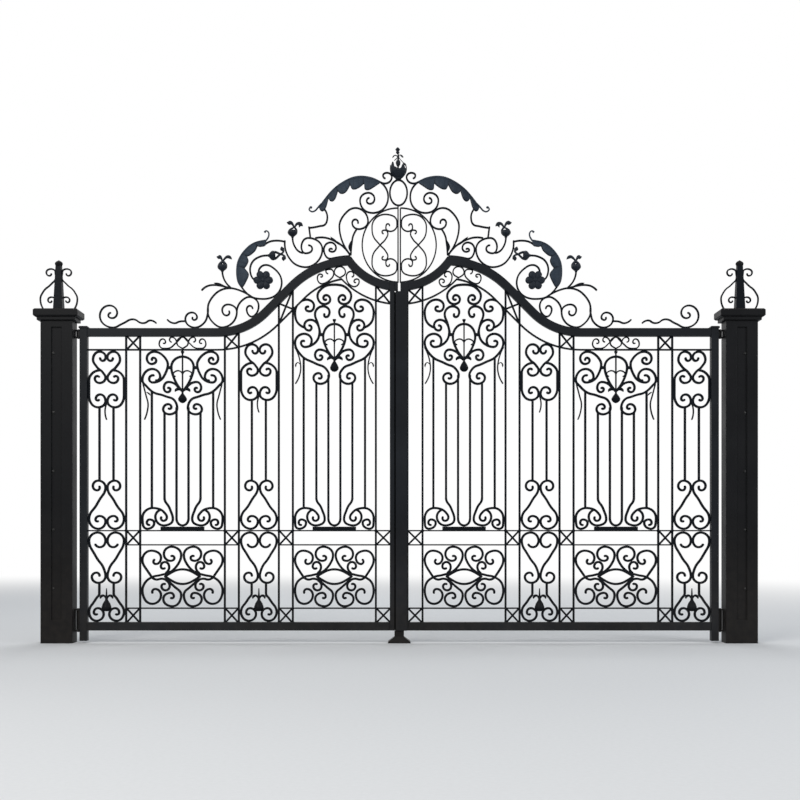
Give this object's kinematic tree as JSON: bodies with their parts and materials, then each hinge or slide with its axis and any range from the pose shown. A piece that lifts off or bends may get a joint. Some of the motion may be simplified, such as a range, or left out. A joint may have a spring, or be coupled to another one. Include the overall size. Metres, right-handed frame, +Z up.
{
  "type": "wrought iron driveway gate",
  "caption": "Double driveway gate of wrought iron scrollwork with a swan-neck top, hung on steel box posts with capped tops.",
  "frame": {"origin": "middle of the left post's foot, on the ground", "axes": "+X along the gate from the left post to the right post, +Y to the back (the side the leaves swing to), +Z up"},
  "size_m": [4.35, 0.166, 2.9733],
  "materials": {
    "black_paint": "satin black paint over forged steel, a little brown where it is worn"
  },
  "bodies": {
    "posts": {"floor_stop": "black_paint", "left_hinge_pins": "black_paint", "left_post": "black_paint", "left_post_cap": "black_paint", "left_post_finial": "black_paint", "right_hinge_pins": "black_paint", "right_post": "black_paint", "right_post_cap": "black_paint", "right_post_finial": "black_paint"},
    "left_leaf": {"left_acanthus_leaves": "black_paint", "left_bottom_rail": "black_paint", "left_buds": "black_paint", "left_crest_scrolls": "black_paint", "left_crown_finial": "black_paint", "left_crown_ring": "black_paint", "left_frieze": "black_paint", "left_grille": "black_paint", "left_hanging_stile": "black_paint", "left_hinge_eyes": "black_paint", "left_inner_wide_panel": "black_paint", "left_lyre": "black_paint", "left_meeting_stile": "black_paint", "left_narrow_panels_lower": "black_paint", "left_narrow_panels_upper": "black_paint", "left_outer_wide_panel": "black_paint", "left_rosette": "black_paint", "left_top_rail": "black_paint", "left_wide_panels_lower": "black_paint"},
    "right_leaf": {"right_acanthus_leaves": "black_paint", "right_bottom_rail": "black_paint", "right_buds": "black_paint", "right_crest_scrolls": "black_paint", "right_frieze": "black_paint", "right_grille": "black_paint", "right_hanging_stile": "black_paint", "right_hinge_eyes": "black_paint", "right_inner_wide_panel": "black_paint", "right_lyre": "black_paint", "right_meeting_stile": "black_paint", "right_narrow_panels_lower": "black_paint", "right_narrow_panels_upper": "black_paint", "right_outer_wide_panel": "black_paint", "right_rosette": "black_paint", "right_top_rail": "black_paint", "right_wide_panels_lower": "black_paint"}
  },
  "joints": [
    {"name": "left_leaf_hinge", "type": "hinge", "parent": "posts", "child": "left_leaf", "pos_m": [0.112, 0.0225, 0.134], "axis": [0, 0, 1], "range_deg": [0, 90]},
    {"name": "right_leaf_hinge", "type": "hinge", "parent": "posts", "child": "right_leaf", "pos_m": [3.972, 0.0225, 0.134], "axis": [0, 0, -1], "range_deg": [0, 90]}
  ]
}
